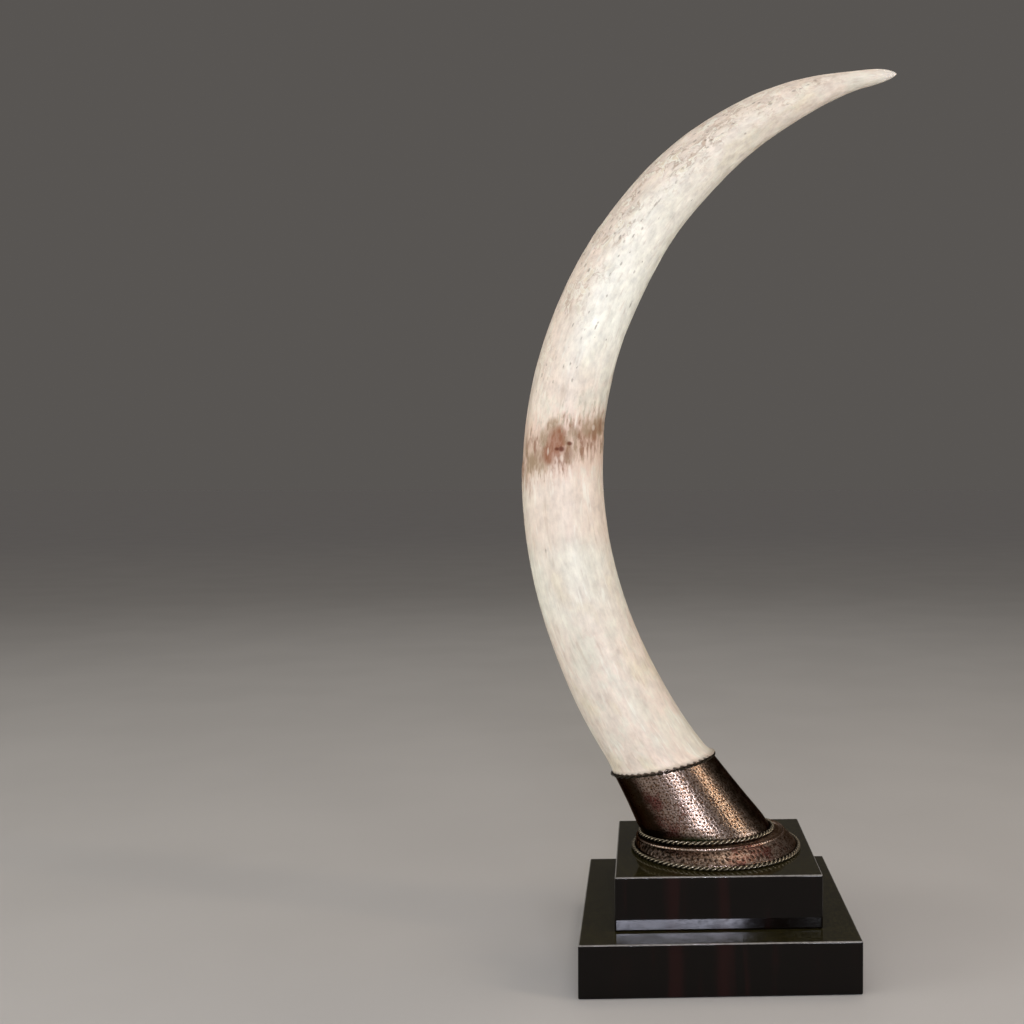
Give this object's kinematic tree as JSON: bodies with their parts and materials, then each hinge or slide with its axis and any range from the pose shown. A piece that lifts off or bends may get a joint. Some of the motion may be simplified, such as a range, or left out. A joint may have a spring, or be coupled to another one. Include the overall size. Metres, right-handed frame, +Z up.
{
  "type": "mounted elephant tusk",
  "caption": "Curved elephant tusk standing on a stepped square block, its root held in a slanting hammered metal collar trimmed with twisted rope.",
  "frame": {"origin": "centre of the lower block's bottom face, at (0, 0, 0)", "axes": "+Z up; +X towards the side where the tip ends, so the tusk bows towards -X; -Y towards the viewer"},
  "size_m": [0.4555, 0.32, 1.0762],
  "materials": {
    "ivory": null,
    "hammered_copper": "dark antiqued copper with fine hammer marks, half gloss",
    "dark_bronze": "dark bronze twisted rope with worn bright crests",
    "black_lacquer": "deep gloss black lacquer over wood, with thin bright edges"
  },
  "bodies": {
    "root": {"tusk": "ivory", "collar_sleeve": "hammered_copper", "rim_rope": "dark_bronze", "foot_rope": "dark_bronze", "base_ring": "hammered_copper", "base_ring_rope": "dark_bronze", "upper_block": "black_lacquer", "lower_block": "black_lacquer"}
  },
  "joints": []
}
